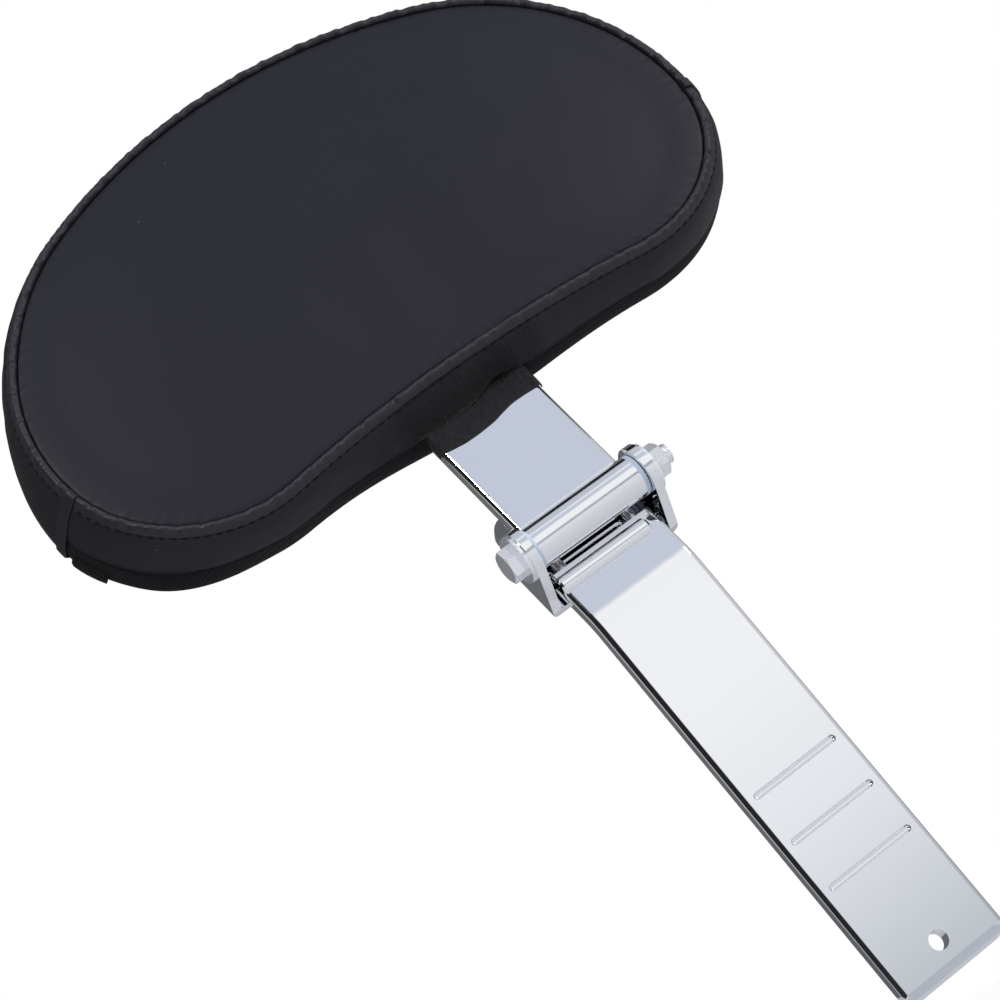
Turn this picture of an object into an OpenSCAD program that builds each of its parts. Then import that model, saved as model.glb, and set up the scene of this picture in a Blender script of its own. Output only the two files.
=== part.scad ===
// Folding rider's backrest: a chrome post with a hinge at its top and a padded backrest.
// Origin at the middle of the retaining hole near the lower end of the post.
// X runs along the hinge, the front of the pad faces -Y, and +Z runs up the post.

/* [Post] */
// Width of the flat bar, post and backrest blade alike
bar_w = 50.8; // [38:0.1:64]
// Thickness of the flat bar
bar_t = 8; // [6:0.1:10]
// Radius along the long edges of the bar
bar_edge = 2.8; // [1:0.1:2.9]
// Distance from the retaining hole to the lower end
post_end = 13.2; // [11:0.1:20]
// Height of the bend above the retaining hole
bend_z = 172.4; // [150:0.1:220]
// How far the top of the post leans back from the rest, in degrees
lean = 14; // [8:0.5:20]
// Radius of the bend at mid-thickness
bend_r = 34; // [25:1:90]
// Corner radius at the lower end
end_corner = 8; // [4:0.5:12]
// Length of the ramp on the front of the lower end
ramp_len = 4.8; // [3:0.1:8]
// Diameter of the retaining hole
hole_d = 8; // [6:0.1:9]
// Height of the lowest height notch above the retaining hole
notch_z = 39.4; // [30:0.1:60]
// Spacing of the height notches
notch_pitch = 22; // [16:0.1:30]
// Number of height notches
notch_count = 3; // [1:1:4]
// Length of a height notch
notch_len = 41; // [30:0.5:44]
// Radius of the round-bottomed notch
notch_r = 1.6; // [1.2:0.1:2]
// Depth of a height notch
notch_depth = 1.2; // [0.6:0.1:1.2]

/* [Hinge] */
// Distance from the bend to the hinge, along the leaning top of the post
hinge_rise = 36.7; // [34:0.1:44]
// Distance of the hinge axis ahead of the post's mid-thickness
hinge_ahead = 12.1; // [11:0.1:16]
// Diameter of the hinge bolt
bolt_d = 8; // [6:0.1:9]
// Outside diameter of the knuckle tube
tube_d = 18; // [17:0.1:20]
// How much longer the knuckle tube is than the bar is wide
tube_over = 0; // [-2:0.1:4]
// Thickness of a nylon bush's flange
flange_t = 2; // [1.5:0.1:3]
// Outside diameter of a bush's barrel
barrel_d = 11.5; // [10.5:0.1:13]
// Length of a bush's barrel inside the tube
barrel_len = 14; // [8:0.5:20]
// Thickness of the bracket's sheet
sheet_t = 4; // [3:0.1:5]
// Radius of the ear round the bolt
ear_r = 11.5; // [10.5:0.1:13]
// How far the bracket reaches below the hinge axis
bracket_down = 20; // [17:0.5:26]
// How far the bracket's back tongue rises above the hinge axis
tongue_up = 27.5; // [20:0.5:32]
// How much wider the back tongue is than the bar
tongue_over = 3.2; // [-4:0.1:4]
// Diameter of the flat washers on the bolt
washer_d = 21; // [18:0.1:22.5]
// Thickness of the flat washers
washer_t = 1.6; // [1:0.1:2.5]
// Across flats of the bolt's head and nut
hex_af = 12.7; // [11:0.1:14]
// Height of the bolt's head
head_h = 5.4; // [4:0.1:7]
// Height of the nut
nut_h = 6.8; // [5:0.1:8]
// Bolt length left beyond the nut
bolt_proud = 3.2; // [1:0.1:8]
// Diameter of the round bead across the front of the post's top
bead_d = 8.4; // [7:0.1:9]
// How far the bead stands out ahead of the post
bead_proud = 3.3; // [2:0.1:4]
// How far the middle of the bead lies below the hinge axis
bead_down = 16.3; // [15.5:0.1:18]
// How far the bead stops short of the bar's edge on the nut side
bead_short = 6.4; // [1:0.1:10]
// Gap between the knuckle's lowest line and the level of the post's top
top_gap = 1.2; // [0.4:0.1:2]
// Spacing of the two recline stop screws
stop_span = 35.8; // [24:0.1:40]
// Diameter of the recline stop screws
stop_d = 5; // [4:0.1:5.6]
// How far the recline stop screws stand above the post's top
stop_rise = 6.9; // [4:0.1:7.5]

/* [Blade] */
// How far the blade's mid-thickness lies behind the hinge axis
blade_back = 1.9; // [0:0.1:2.5]
// Height of the blade's top above the hinge axis
blade_top = 190; // [160:1:205]
// Height of the lower pad screws above the hinge axis
screw_z = 112; // [105:1:120]
// Spacing of the pad screws up the blade
screw_rise = 55; // [40:1:60]
// Spacing of the pad screws across the blade
screw_span = 28; // [20:0.5:32]
// Diameter of the pad screws
screw_d = 6; // [4:0.1:6]

/* [Pad] */
// Width of the front panel inside its seam
pad_w = 309.6; // [280:0.1:340]
// Height of the seam's middle above the hinge axis, at the bottom
pad_low = 80.2; // [78:0.1:95]
// Height of the seam's middle above the hinge axis, at the top
pad_high = 248.7; // [240:0.1:262]
// How far the pad sits to the side of the blade's middle
pad_shift = 4; // [-6:0.5:6]
// Radius of the lower lobes
lobe_r = 59.5; // [50:0.5:62]
// How far the lobes reach below the middle of the lower seam
lobe_dip = 6.6; // [4:0.1:12]
// Roundness of the shoulders, from the lobes' own radius at 0 to a flat top at 1
shoulder_share = 0.72; // [0.5:0.01:0.8]
// Thickness from the blade's mid-thickness to the front seam
seam_ahead = 22; // [19:0.5:28]
// How far the front panel swells ahead of its seam
crown = 8; // [4:0.5:14]
// How far the boxing stands out beyond the front seam
boxing_out = 8.6; // [6:0.1:12]
// How far the back of the pad lies behind the blade's mid-thickness
back_depth = 7; // [5:0.5:10]
// Thickness of the vinyl
vinyl_t = 1.2; // [0.8:0.1:1.6]
// Thickness of the backing board
board_t = 6; // [5:0.5:9]

/* [Hidden] */
$fn = 64;

// Clearances
running = 0.05;      // radial, bush on bolt
slip = 0.15;         // radial, bolt and screws through holes
seat = 0.02;         // radial, pressed or screwed together
side_play = 0.3;     // between a bush's flange and its ear
soft_gap = 0.3;      // between the layers of the pad
stop_play = 0.3;     // between the lug and the stop screws at rest
eps = 1;             // overrun of a cutting tool

// Hinge frame
hinge_y = hinge_rise * sin(lean) - hinge_ahead * cos(lean);
hinge_z = bend_z + hinge_rise * cos(lean) + hinge_ahead * sin(lean);
tube_r = tube_d / 2;
tube_len = bar_w + tube_over;
tongue_w = bar_w + tongue_over;
bead_len = bar_w - bead_short;
bead_r = bead_d / 2;
bead_bevel = 1;
ear_in = tube_len / 2 + flange_t + side_play;
ear_out = ear_in + sheet_t;
head_x = ear_out + washer_t;
post_front = hinge_ahead - bar_t / 2;
bead_y = post_front - bead_proud + bead_r;
web_front = hinge_ahead + bar_t / 2;
web_back = web_front + sheet_t;
post_top = tube_r + top_gap;
bend_half = bend_r * tan(lean / 2);
joint_lap = 0.6;      // the leaning top starts this far inside the bend
joint_step = 0.01;    // and is this much smaller all round, so that the two fuse cleanly
bend_out_r = sheet_t - 1;
tongue_corner = 8;
blade_front = blade_back - bar_t / 2;
blade_edge = 1.2;
thread_in = 11;
stop_tip = 1.4;
stop_top = -post_top + stop_rise;
lug_h = 5;
lug_back = web_front - 2;
lug_len = stop_span + stop_d + 3;

// Pad stations, measured forward from the blade's mid-thickness
board_back = bar_t / 2;
board_front = board_back + board_t;
border_f = board_back + 0.5;
back_f = -back_depth;
welt_out = 4.6;
lobe_x = pad_w / 2 - lobe_r;
lobe_up = lobe_r - lobe_dip;
lobe_z = pad_low + lobe_up;
shoulder_r = lobe_r + shoulder_share * (pad_high - lobe_z - lobe_r);
low_r = (lobe_x * lobe_x + lobe_up * lobe_up - lobe_r * lobe_r) / (2 * (lobe_r - lobe_up));
low_a = atan2(lobe_up + low_r, lobe_x);
shoulder_a = -6;
shoulder_x = lobe_x - (shoulder_r - lobe_r) * cos(shoulder_a);
shoulder_z = lobe_z - (shoulder_r - lobe_r) * sin(shoulder_a);
top_rise = pad_high - shoulder_z;
top_r = (shoulder_x * shoulder_x + top_rise * top_rise - shoulder_r * shoulder_r)
        / (2 * (top_rise - shoulder_r));
top_z = pad_high - top_r;
top_a = atan2(shoulder_z - top_z, shoulder_x);
joint_a = -10.5;
pad_mid = (pad_low + pad_high) / 2;
slot_half = bar_w / 2 + 2;
low_n = 8;
lobe_n = 14;
shoulder_n = 8;
top_n = 6;

// Points of an arc, the last one left out
function arc(cx, cz, r, from, to, n) =
    [for (i = [0 : n - 1]) let (a = from + (to - from) * i / n) [cx + r * cos(a), cz + r * sin(a)]];

// Right half of the pad's outline, e outside the front seam, from the bottom up
function half_outline(e) = concat(
    [for (p = arc(0, pad_low - low_r, low_r - e, 90, low_a, low_n)) p],
    arc(lobe_x, lobe_z, lobe_r + e, low_a - 180, shoulder_a, lobe_n),
    arc(shoulder_x, shoulder_z, shoulder_r + e, shoulder_a, top_a, shoulder_n),
    arc(0, top_z, top_r + e, top_a, 90, top_n));

// Whole outline, counter-clockwise seen from the front
function outline(e) =
    let (h = half_outline(e), n = len(h))
    concat(h, [[0, top_z + top_r + e]], [for (i = [n - 1 : -1 : 1]) [-h[i][0], h[i][1]]]);

// Outline in space at f ahead of the blade, and shrunk by k about the pad's middle
function ring(e, f, k = 1) =
    [for (p = outline(e)) [pad_shift + k * p[0], blade_back - f, pad_mid + k * (p[1] - pad_mid)]];

// Height of the crowned front panel over its seam at a share k of the way out
function swell(k) = crown * (1 - pow(k, 2.6));

module in_hinge_frame() {
    translate([0, hinge_y, hinge_z]) rotate([-lean, 0, 0]) children();
}

// Solid through rings of equal length, closed by its first and last ring
module loft(rings) {
    n = len(rings[0]);
    m = len(rings);
    points = [for (r = rings) for (p = r) p];
    sides = [for (j = [0 : m - 2]) for (i = [0 : n - 1]) let (k = (i + 1) % n)
        [j * n + i, j * n + k, (j + 1) * n + k, (j + 1) * n + i]];
    first = [[for (i = [n - 1 : -1 : 0]) i]];
    last = [[for (i = [0 : n - 1]) (m - 1) * n + i]];
    polyhedron(points, concat(first, sides, last), convexity = 8);
}

// Closed loop of a section, each entry of rings being the whole loop of one section point
module loop(rings) {
    n = len(rings[0]);
    m = len(rings);
    points = [for (r = rings) for (p = r) p];
    sides = [for (j = [0 : m - 1]) for (i = [0 : n - 1]) let (k = (i + 1) % n, l = (j + 1) % m)
        [j * n + i, j * n + k, l * n + k, l * n + i]];
    polyhedron(points, sides, convexity = 8);
}

// Part of a band between two places along the outline, from its outer and inner rings
module strip(outer, inner, from, to) {
    m = len(outer);
    n = len(outer[0]);
    w = 2 * m;
    rows = to - from;
    points = [for (i = [from : to]) for (r = concat(outer, inner)) r[i % n]];
    along = [for (i = [0 : rows - 1]) for (j = [0 : m - 2]) let (a = i * w + j, b = a + w)
        each [[a, b, b + 1, a + 1], [a + m, a + m + 1, b + m + 1, b + m]]];
    edges = [for (i = [0 : rows - 1]) let (a = i * w, b = a + w)
        each [[a, a + m, b + m, b], [a + m - 1, b + m - 1, b + w - 1, a + w - 1]]];
    ends = [for (j = [0 : m - 2]) let (b = rows * w + j)
        each [[j, j + 1, j + 1 + m, j + m], [b, b + m, b + m + 1, b + 1]]];
    polyhedron(points, concat(along, edges, ends), convexity = 6);
}

module bar_section(inset = 0) {
    w = bar_w - 2 * inset;
    t = bar_t - 2 * inset;
    square([w - 2 * bar_edge, t], center = true);
    square([w, t - 2 * bar_edge], center = true);
    for (x = [-1, 1], y = [-1, 1])
        translate([x * (w / 2 - bar_edge), y * (t / 2 - bar_edge)]) circle(r = bar_edge);
}

module round_ended(w, low, high, r) {
    translate([-w / 2, low + r]) square([w, high - low - r]);
    translate([r - w / 2, low]) square([w - 2 * r, high - low]);
    for (x = [-1, 1]) translate([x * (w / 2 - r), low + r]) circle(r = r);
}

module notch() {
    half = notch_len / 2 - notch_r;
    rotate([0, 90, 0]) cylinder(r = notch_r, h = 2 * half, center = true);
    for (x = [-1, 1]) translate([x * half, 0, 0]) sphere(r = notch_r);
}

module post() {
    color("silver") difference() {
        union() {
            intersection() {
                translate([0, 0, -post_end])
                    linear_extrude(bend_z - bend_half + post_end) bar_section();
                rotate([90, 0, 0]) linear_extrude(2 * bar_t, center = true)
                    round_ended(bar_w, -post_end, bend_z, end_corner);
            }
            translate([0, bend_r, bend_z - bend_half]) {
                rotate([90, 0, -90]) rotate_extrude(angle = lean)
                    translate([bend_r, 0]) rotate(90) bar_section();
                rotate([-lean, 0, 0]) translate([0, -bend_r, -joint_lap])
                    linear_extrude(hinge_rise - post_top - bend_half + joint_lap)
                        bar_section(joint_step);
            }
        }
        rotate([90, 0, 0]) cylinder(d = hole_d, h = 2 * bar_t, center = true);
        for (i = [0 : notch_count - 1])
            translate([0, -bar_t / 2 - notch_r + notch_depth, notch_z + i * notch_pitch]) notch();
        translate([0, -bar_t / 2, ramp_len - post_end]) rotate([-45, 0, 0])
            translate([0, 0, -bar_t]) cube([bar_w + eps, bar_t * 0.6, 2 * bar_t], center = true);
        for (x = [-1, 1]) in_hinge_frame() translate([x * stop_span / 2, hinge_ahead, -post_top])
            cylinder(d = stop_d + 2 * seat, h = 2 * thread_in, center = true);
    }
}

module bead() {
    color("silver") in_hinge_frame() difference() {
        translate([-bead_short / 2, bead_y, -bead_down]) rotate([0, 90, 0]) {
            cylinder(r = bead_r, h = bead_len - 2 * bead_bevel, center = true);
            for (end = [0, 1]) mirror([0, 0, end]) translate([0, 0, bead_len / 2 - bead_bevel])
                cylinder(r1 = bead_r, r2 = bead_r - bead_bevel, h = bead_bevel);
        }
        translate([-bar_w, post_front, -2 * bead_down]) cube([2 * bar_w, bar_t, 2 * bead_down]);
    }
}

// Tangent point on the ear's nose towards a point below and behind it
function ear_tangent(y, z) =
    let (a = atan2(z, y) - acos(ear_r / norm([y, z]))) [ear_r * cos(a), ear_r * sin(a)];

module ear_side() {
    circle(r = ear_r);
    polygon([[0, 0], [0, ear_r], [web_back + eps, ear_r], [web_back + eps, -bracket_down - eps],
        [web_front, -bracket_down - eps], [web_front, -bracket_down],
        ear_tangent(web_front, -bracket_down)]);
}

module channel_section() {
    difference() {
        union() {
            translate([-ear_out, -ear_r]) square([2 * ear_out, web_back + ear_r - bend_out_r]);
            translate([bend_out_r - ear_out, 0]) square([2 * (ear_out - bend_out_r), web_back]);
            for (x = [-1, 1]) translate([x * (ear_out - bend_out_r), web_back - bend_out_r])
                circle(r = bend_out_r);
        }
        translate([-ear_in, -ear_r - eps]) square([2 * ear_in, web_front + ear_r + eps]);
    }
}

module tongue() {
    translate([0, web_back, 0]) rotate([90, 0, 0]) linear_extrude(sheet_t)
        mirror([0, 1]) round_ended(tongue_w, -tongue_up, 0, tongue_corner);
}

module hinge_bracket() {
    color("silver") in_hinge_frame() difference() {
        union() {
            intersection() {
                translate([0, 0, -bracket_down]) linear_extrude(bracket_down + ear_r + eps)
                    channel_section();
                rotate([90, 0, 90]) linear_extrude(2 * ear_out + eps, center = true) ear_side();
            }
            tongue();
        }
        rotate([0, 90, 0]) cylinder(d = bolt_d + 2 * slip, h = 2 * ear_out + eps, center = true);
    }
}

module hexagon_bar(h) {
    cylinder(d = hex_af / cos(30), h = h, $fn = 6);
}

module hinge_bolt() {
    color("gainsboro") in_hinge_frame() rotate([0, 90, 0]) {
        translate([0, 0, -head_x]) cylinder(d = bolt_d, h = 2 * head_x + nut_h + bolt_proud);
        translate([0, 0, -head_x - head_h]) intersection() {
            rotate(37) hexagon_bar(head_h);
            cylinder(d1 = hex_af * 0.95, d2 = hex_af * 0.95 + 2 * head_h * 2, h = head_h);
        }
    }
}

module washer() {
    rotate([0, 90, 0]) difference() {
        cylinder(d = washer_d, h = washer_t);
        translate([0, 0, -eps]) cylinder(d = bolt_d + 2 * slip, h = washer_t + 2 * eps);
    }
}

module head_washer() {
    color("gainsboro") in_hinge_frame() translate([-head_x, 0, 0]) washer();
}

module nut_washer() {
    color("gainsboro") in_hinge_frame() translate([ear_out, 0, 0]) washer();
}

module hinge_nut() {
    color("gainsboro") in_hinge_frame() translate([head_x, 0, 0]) rotate([0, 90, 0]) difference() {
        intersection() {
            rotate(20) hexagon_bar(nut_h);
            cylinder(d1 = hex_af * 0.95 + 4 * nut_h, d2 = hex_af * 0.95, h = nut_h);
        }
        translate([0, 0, -eps]) cylinder(d = bolt_d + 2 * seat, h = nut_h + 2 * eps);
    }
}

module stop_screw(side) {
    color("silver") in_hinge_frame() translate([side * stop_span / 2, hinge_ahead, -post_top]) {
        translate([0, 0, -thread_in]) cylinder(d = stop_d, h = thread_in + stop_rise - stop_tip);
        translate([0, 0, stop_rise - stop_tip]) cylinder(d1 = stop_d, d2 = stop_d - 2.6, h = stop_tip);
    }
}

module knuckle_tube() {
    color("silver") in_hinge_frame() rotate([0, 90, 0]) difference() {
        cylinder(r = tube_r, h = tube_len, center = true);
        cylinder(d = barrel_d + 2 * seat, h = tube_len + eps, center = true);
    }
}

// Bar welded along the back of the knuckle; it comes down on the stop screws
module stop_lug() {
    color("silver") in_hinge_frame() difference() {
        translate([-lug_len / 2, 0, stop_top + stop_play]) cube([lug_len, lug_back, lug_h]);
        rotate([0, 90, 0]) cylinder(r = tube_r, h = tube_len, center = true);
        translate([-lug_len, -eps, -tube_d]) cube([2 * lug_len, tube_r * 0.6 + eps, 2 * tube_d]);
    }
}

module bush(side) {
    color("lightsteelblue") in_hinge_frame() rotate([0, side * 90, 0]) difference() {
        union() {
            translate([0, 0, tube_len / 2]) cylinder(d = tube_d, h = flange_t);
            translate([0, 0, tube_len / 2 - barrel_len]) cylinder(d = barrel_d, h = barrel_len);
        }
        translate([0, 0, tube_len / 2 - barrel_len - eps])
            cylinder(d = bolt_d + 2 * running, h = barrel_len + flange_t + 2 * eps);
    }
}

module at_pad_screws() {
    for (x = [-1, 1], i = [0, 1])
        translate([x * screw_span / 2, 0, screw_z + i * screw_rise]) rotate([90, 0, 0]) children();
}

module upper_blade() {
    low = tube_r * 0.7;
    color("silver") in_hinge_frame() difference() {
        intersection() {
            translate([0, blade_back, low]) linear_extrude(blade_top - low) bar_section();
            translate([0, blade_back, 0]) rotate([90, 0, 0]) linear_extrude(2 * bar_t, center = true)
                mirror([0, 1]) round_ended(bar_w, -blade_top, 0, end_corner);
        }
        rotate([0, 90, 0]) cylinder(r = tube_r, h = bar_w + eps, center = true);
        difference() {
            translate([-bar_w, blade_front - eps, 0])
                cube([2 * bar_w, blade_edge + eps, tube_r - 0.25 + blade_edge]);
            translate([0, blade_front + blade_edge, tube_r - 0.25 + blade_edge]) rotate([0, 90, 0])
                cylinder(r = blade_edge, h = 3 * bar_w, center = true);
        }
        translate([0, blade_back, 0]) at_pad_screws() {
            cylinder(d = screw_d + 2 * slip, h = 2 * bar_t, center = true);
            translate([0, 0, -bar_t / 2 - 0.01])
                cylinder(d1 = 2 * screw_d + 2 * slip, d2 = screw_d + 2 * slip, h = screw_d / 2);
        }
    }
}

module flat_layer(f, t, e) {
    translate([pad_shift, blade_back - f, 0]) rotate([90, 0, 0]) linear_extrude(t)
        polygon(outline(e));
}

module backing_board() {
    color("burlywood") in_hinge_frame() difference() {
        flat_layer(board_back, board_t, boxing_out - vinyl_t - 3);
        translate([0, blade_back - board_back, 0]) at_pad_screws()
            translate([0, 0, -eps]) cylinder(d = tee_barrel_d + 2 * seat, h = board_t + 2 * eps);
    }
}

tee_barrel_d = screw_d + 2.4;
tee_flange_t = 1.2;

module tee_nuts() {
    color("darkgray") in_hinge_frame() translate([0, blade_back - board_back, 0]) at_pad_screws()
        difference() {
            union() {
                cylinder(d = tee_barrel_d, h = board_t);
                translate([0, 0, board_t]) cylinder(d = tee_barrel_d + 9, h = tee_flange_t);
            }
            translate([0, 0, -eps]) cylinder(d = screw_d + 2 * seat, h = board_t + tee_flange_t + 2 * eps);
        }
}

module pad_screws() {
    color("darkgray") in_hinge_frame() translate([0, blade_back, 0]) at_pad_screws() {
        translate([0, 0, -bar_t / 2]) cylinder(d1 = 2 * screw_d, d2 = screw_d, h = screw_d / 2);
        translate([0, 0, -bar_t / 2]) cylinder(d = screw_d, h = bar_t + board_t - 1);
    }
}

module foam_core() {
    foam_back = board_front + tee_flange_t + soft_gap;
    skin = vinyl_t + soft_gap;
    color("khaki") in_hinge_frame() loft([
        ring(boxing_out - skin - 1.4, foam_back),
        ring(boxing_out - skin - 1.4, seam_ahead - 7),
        ring(welt_out - skin, seam_ahead - 3.4),
        ring(0, seam_ahead - skin - 1),
        for (k = [0.93, 0.8, 0.6, 0.35, 0.08]) ring(0, seam_ahead + swell(k) - skin, k)]);
}

module back_foam() {
    color("khaki") in_hinge_frame() difference() {
        flat_layer(back_f + soft_gap / 2, board_back - back_f - soft_gap, boxing_out - vinyl_t - 1);
        translate([-bar_w / 2 - soft_gap, -web_back, 0])
            cube([bar_w + 2 * soft_gap, 2 * web_back, blade_top + soft_gap]);
    }
}

module front_panel() {
    ks = [0.06, 0.35, 0.6, 0.8, 0.93];
    color("#2b2b33") in_hinge_frame() loft(concat(
        [for (k = ks) ring(0, seam_ahead + swell(k), k)],
        [ring(-0.2, seam_ahead)],
        [ring(-0.2, seam_ahead - vinyl_t)],
        [for (i = [len(ks) - 1 : -1 : 0]) ring(0, seam_ahead + swell(ks[i]) - vinyl_t, ks[i])]));
}

module seam_welt() {
    color("#26262d") in_hinge_frame() loop([
        ring(0.1, seam_ahead - 0.6), ring(0.1, seam_ahead + 0.4), ring(1.8, seam_ahead + 1),
        ring(3.6, seam_ahead + 0.2), ring(welt_out, seam_ahead - 1.6),
        ring(welt_out, seam_ahead - 2.6), ring(welt_out - 1.8, seam_ahead - 2)]);
}

// Section of the vinyl boxing, from the welt to the back band
function boxing_rings() = [
    ring(welt_out - 0.8, seam_ahead - 2.9), ring(welt_out + 0.4, seam_ahead - 2.9),
    ring(boxing_out - 1.2, seam_ahead - 7), ring(boxing_out, seam_ahead - 12), ring(boxing_out, border_f),
    ring(boxing_out - vinyl_t, border_f), ring(boxing_out - vinyl_t, seam_ahead - 12),
    ring(boxing_out - 1.2 - vinyl_t, seam_ahead - 7)];

module boxing() {
    color("#26262d") in_hinge_frame() loop(boxing_rings());
}

function band_rings() = [
    ring(boxing_out - 0.2, border_f - 0.1), ring(boxing_out, 0), ring(boxing_out - 0.6, back_f),
    ring(boxing_out - 0.6 - vinyl_t, back_f), ring(boxing_out - vinyl_t, 0),
    ring(boxing_out - 0.2 - vinyl_t, border_f - 0.1)];

// Textile band behind the boxing, open where the blade comes out
module back_band() {
    color("#17171b") in_hinge_frame() difference() {
        loop(band_rings());
        translate([-slot_half, -web_back, 0]) cube([2 * slot_half, 2 * web_back, pad_mid]);
    }
}

module back_panel() {
    color("#1c1c20") in_hinge_frame() flat_layer(back_f - vinyl_t - 0.1, vinyl_t, boxing_out - 0.6);
}

// Number of outline points up to the joint on the right-hand lobe
joint_i = low_n + round(lobe_n * (joint_a - low_a + 180) / (shoulder_a - low_a + 180));
ring_n = 2 * (low_n + lobe_n + shoulder_n + top_n);

// Lapped end of the boxing, folded over the welt
function strap_outer() = [
    ring(1, seam_ahead + 1.9), ring(2.2, seam_ahead + 2), ring(4, seam_ahead + 1.2),
    ring(welt_out + 1, seam_ahead - 1.2), ring(boxing_out - 0.2, seam_ahead - 7),
    ring(boxing_out + 1, seam_ahead - 12), ring(boxing_out + 1, border_f)];
function strap_inner() = [
    ring(1, seam_ahead + 1.1), ring(2.1, seam_ahead + 1.1), ring(3.7, seam_ahead + 0.4),
    ring(welt_out + 0.6, seam_ahead - 2.2), ring(boxing_out - 1, seam_ahead - 7),
    ring(boxing_out + 0.1, seam_ahead - 12), ring(boxing_out + 0.1, border_f)];

module strap_left() {
    color("#26262d") in_hinge_frame()
        strip(strap_outer(), strap_inner(), ring_n - joint_i, ring_n - joint_i + 1);
}

module strap_right() {
    color("#26262d") in_hinge_frame() strip(strap_outer(), strap_inner(), joint_i - 1, joint_i);
}

// Fabric tab at an end of the back band
function tab_outer() = [ring(boxing_out + 1.1, 2.4), ring(boxing_out + 1.1, -2.4)];
function tab_inner() = [ring(boxing_out + 0.1, 2.4), ring(boxing_out + 0.1, -2.4)];

module tab_left() {
    color("#101014") in_hinge_frame()
        strip(tab_outer(), tab_inner(), ring_n - joint_i + 1, ring_n - joint_i + 3);
}

module tab_right() {
    color("#101014") in_hinge_frame() strip(tab_outer(), tab_inner(), joint_i - 3, joint_i - 1);
}

post();
bead();
hinge_bracket();
hinge_bolt();
head_washer();
nut_washer();
hinge_nut();
stop_screw(-1);  // stop_screw_left
stop_screw(1);  // stop_screw_right
knuckle_tube();
stop_lug();
bush(-1);  // bush_left
bush(1);  // bush_right
upper_blade();
backing_board();
tee_nuts();
pad_screws();
foam_core();
back_foam();
front_panel();
seam_welt();
boxing();
back_band();
back_panel();
strap_left();
strap_right();
tab_left();
tab_right();
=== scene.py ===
"""Dresses the folding rider's backrest: chrome post, bolted hinge and padded vinyl backrest."""

from __future__ import annotations

import logging
import math
from dataclasses import dataclass, field
from enum import Enum
from typing import Sequence

import bmesh
import bpy
import numpy as np
from mathutils import Matrix, Vector
from mathutils.kdtree import KDTree


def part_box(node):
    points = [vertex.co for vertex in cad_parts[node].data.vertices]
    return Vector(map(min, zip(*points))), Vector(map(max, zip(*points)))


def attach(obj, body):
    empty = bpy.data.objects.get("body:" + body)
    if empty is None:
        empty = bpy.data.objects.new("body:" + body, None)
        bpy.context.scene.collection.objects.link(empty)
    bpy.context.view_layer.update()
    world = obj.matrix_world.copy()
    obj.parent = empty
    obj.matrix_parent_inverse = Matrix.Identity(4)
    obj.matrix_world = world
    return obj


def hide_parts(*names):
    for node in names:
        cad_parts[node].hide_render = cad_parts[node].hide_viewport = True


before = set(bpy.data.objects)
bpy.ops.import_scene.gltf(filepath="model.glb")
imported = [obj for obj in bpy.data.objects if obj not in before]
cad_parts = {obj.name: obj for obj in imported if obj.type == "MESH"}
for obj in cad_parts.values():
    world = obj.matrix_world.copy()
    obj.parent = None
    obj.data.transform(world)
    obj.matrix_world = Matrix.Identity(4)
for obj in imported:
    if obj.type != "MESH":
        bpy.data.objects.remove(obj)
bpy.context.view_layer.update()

MM = 0.001
LOG = logging.getLogger("backrest")


class Slot(Enum):
    """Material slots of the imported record."""

    CHROME = "chrome"
    PLATED = "plated_steel"
    NYLON = "nylon"
    VINYL = "vinyl"
    TEXTILE = "textile"


class Body(Enum):
    """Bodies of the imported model."""

    POST = "mount_post"
    BACKREST = "backrest"


class Side(Enum):
    """The two lobes of the pad, by the sign of their X."""

    LEFT = -1
    RIGHT = 1

    def of(self, pair: tuple[float, float]) -> float:
        """This side's one of a left and a right value."""
        return pair[0] if self is Side.LEFT else pair[1]


class Value:
    """A shader socket that takes part in Python arithmetic."""

    def __init__(self, tree: "Nodes", socket: bpy.types.NodeSocket) -> None:
        """Wraps one output socket of a tree."""
        self.tree = tree
        self.socket = socket

    def _math(self, operation: str, *values: "Value | float") -> "Value":
        """Adds one Math node.

        Args:
            operation: The node's operation.
            values: Its inputs, links or numbers.

        Returns:
            The node's result.
        """
        return self.tree.node("ShaderNodeMath", {"operation": operation}, list(values))

    def __add__(self, other: "Value | float") -> "Value":
        """Sum."""
        return self._math("ADD", self, other)

    def __radd__(self, other: float) -> "Value":
        """Sum with a number in front."""
        return self._math("ADD", other, self)

    def __sub__(self, other: "Value | float") -> "Value":
        """Difference."""
        return self._math("SUBTRACT", self, other)

    def __rsub__(self, other: float) -> "Value":
        """Difference from a number."""
        return self._math("SUBTRACT", other, self)

    def __mul__(self, other: "Value | float") -> "Value":
        """Product."""
        return self._math("MULTIPLY", self, other)

    def __rmul__(self, other: float) -> "Value":
        """Product with a number in front."""
        return self._math("MULTIPLY", other, self)

    def clamp(self, low: float = 0.0, high: float = 1.0) -> "Value":
        """The value kept between two limits."""
        return self._math("MINIMUM", self._math("MAXIMUM", self, low), high)

    def step(self, low: float, high: float) -> "Value":
        """A smooth rise from 0 at low to 1 at high."""
        return self.tree.node("ShaderNodeMapRange", {"interpolation_type": "SMOOTHSTEP"},
                              {"Value": self, "From Min": low, "From Max": high})


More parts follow.
